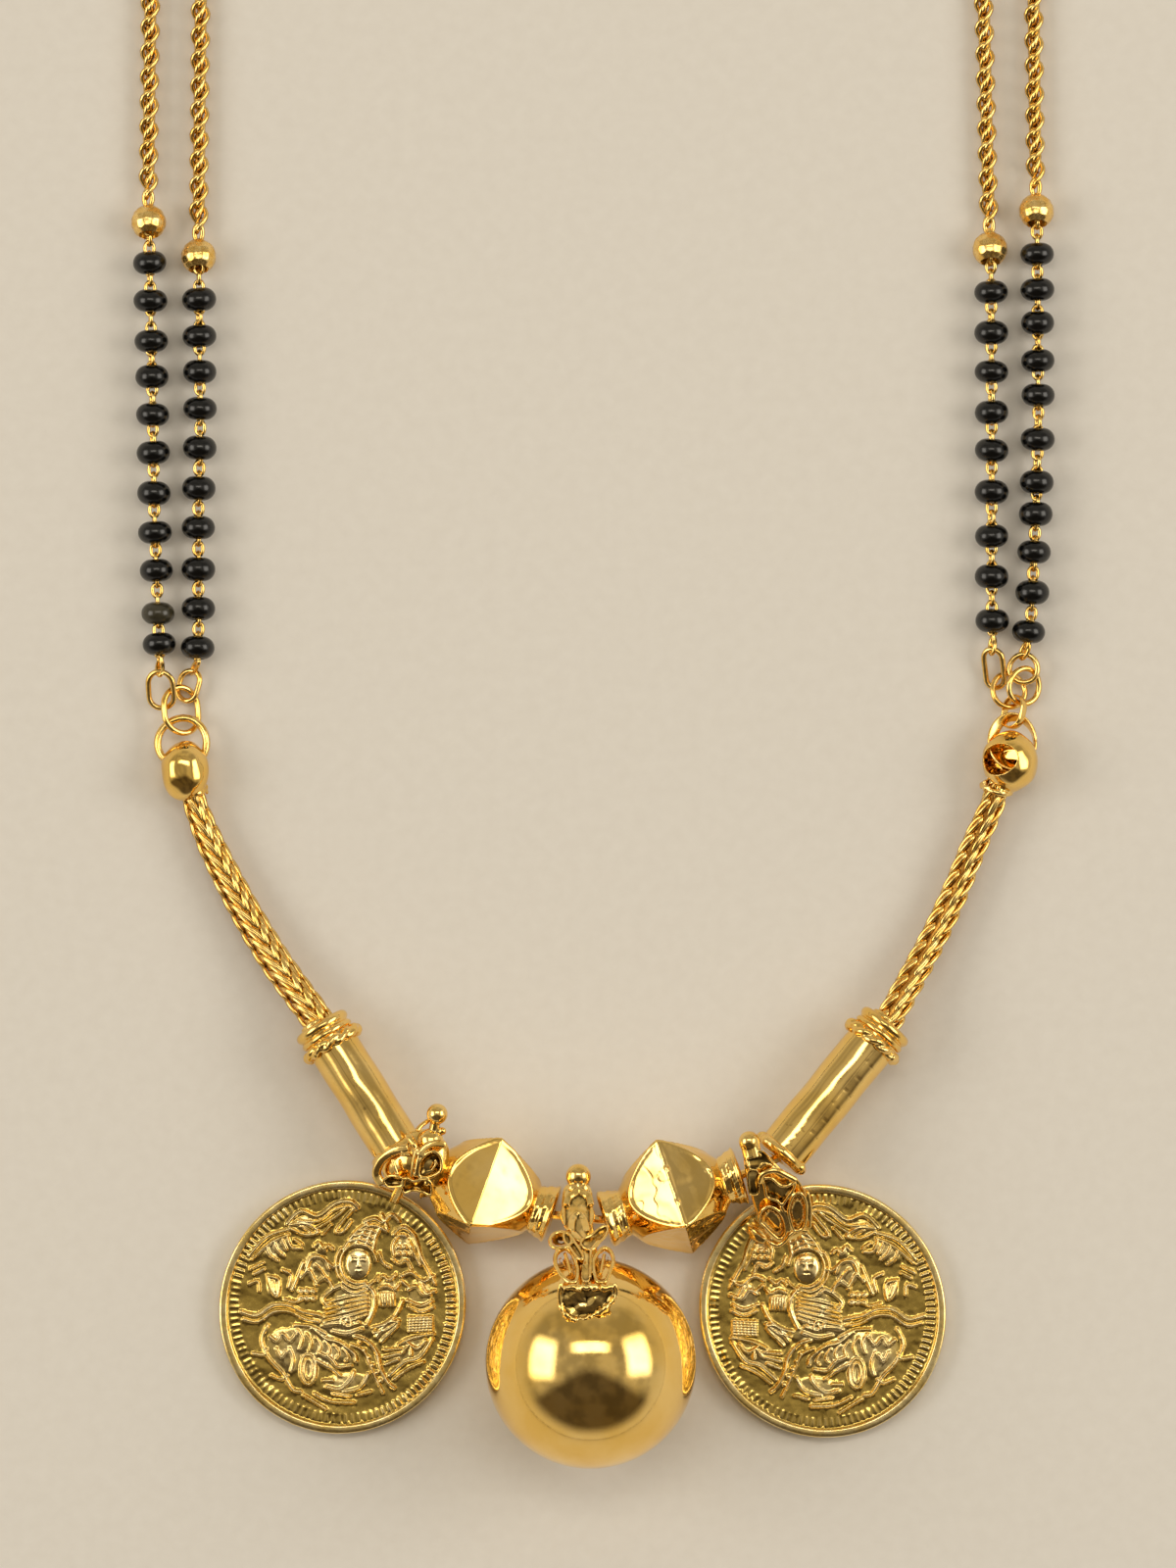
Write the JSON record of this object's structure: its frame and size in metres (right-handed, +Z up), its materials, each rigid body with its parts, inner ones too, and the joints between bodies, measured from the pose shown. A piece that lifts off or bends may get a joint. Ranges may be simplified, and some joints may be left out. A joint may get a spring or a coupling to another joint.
{
  "type": "mangalsutra necklace",
  "caption": "Mangalsutra laid flat: a doubled gold neck chain with black beads, joined by caps and woven chains to a ball pendant between faceted beads and coin pendants.",
  "frame": {"origin": "on the surface it lies on, under the middle of the loop's bounding box", "axes": "+Z up from the surface, +Y from the pendants towards the clasp at the back of the neck, +X to the viewer's right"},
  "size_m": [0.0754, 0.291, 0.0171],
  "materials": {
    "polished_gold": "polished gold plate",
    "struck_gold": "struck relief, bright on the raised lines and satin in the field",
    "woven_gold": "polished fine wire, woven and linked",
    "black_glass": "glossy black glass"
  },
  "bodies": {
    "root": {"ball_pendant": "polished_gold", "left_faceted_bead": "polished_gold", "right_faceted_bead": "polished_gold", "left_tube_bead": "polished_gold", "right_tube_bead": "polished_gold", "stringing_wire": "polished_gold", "left_end_cap": "polished_gold", "right_end_cap": "polished_gold", "left_cap_ring": "polished_gold", "left_joining_ring": "polished_gold", "left_outer_ring": "polished_gold", "left_inner_ring": "polished_gold", "right_cap_ring": "polished_gold", "right_band_ring": "polished_gold", "right_joining_ring": "polished_gold", "right_front_ring": "polished_gold", "right_outer_ring": "polished_gold", "right_inner_ring": "polished_gold", "left_outer_gold_bead": "polished_gold", "left_inner_gold_bead": "polished_gold", "right_inner_gold_bead": "polished_gold", "right_outer_gold_bead": "polished_gold", "left_end_ring": "polished_gold", "right_end_ring": "polished_gold", "clasp": "polished_gold", "left_coin_pendant": "struck_gold", "right_coin_pendant": "struck_gold", "left_woven_chain": "woven_gold", "right_woven_chain": "woven_gold", "left_outer_link_chain": "woven_gold", "left_inner_link_chain": "woven_gold", "right_inner_link_chain": "woven_gold", "right_outer_link_chain": "woven_gold", "left_outer_wheat_chain": "woven_gold", "left_inner_wheat_chain": "woven_gold", "right_inner_wheat_chain": "woven_gold", "right_outer_wheat_chain": "woven_gold", "left_outer_black_beads": "black_glass", "left_inner_black_beads": "black_glass", "right_inner_black_beads": "black_glass", "right_outer_black_beads": "black_glass"}
  },
  "joints": []
}
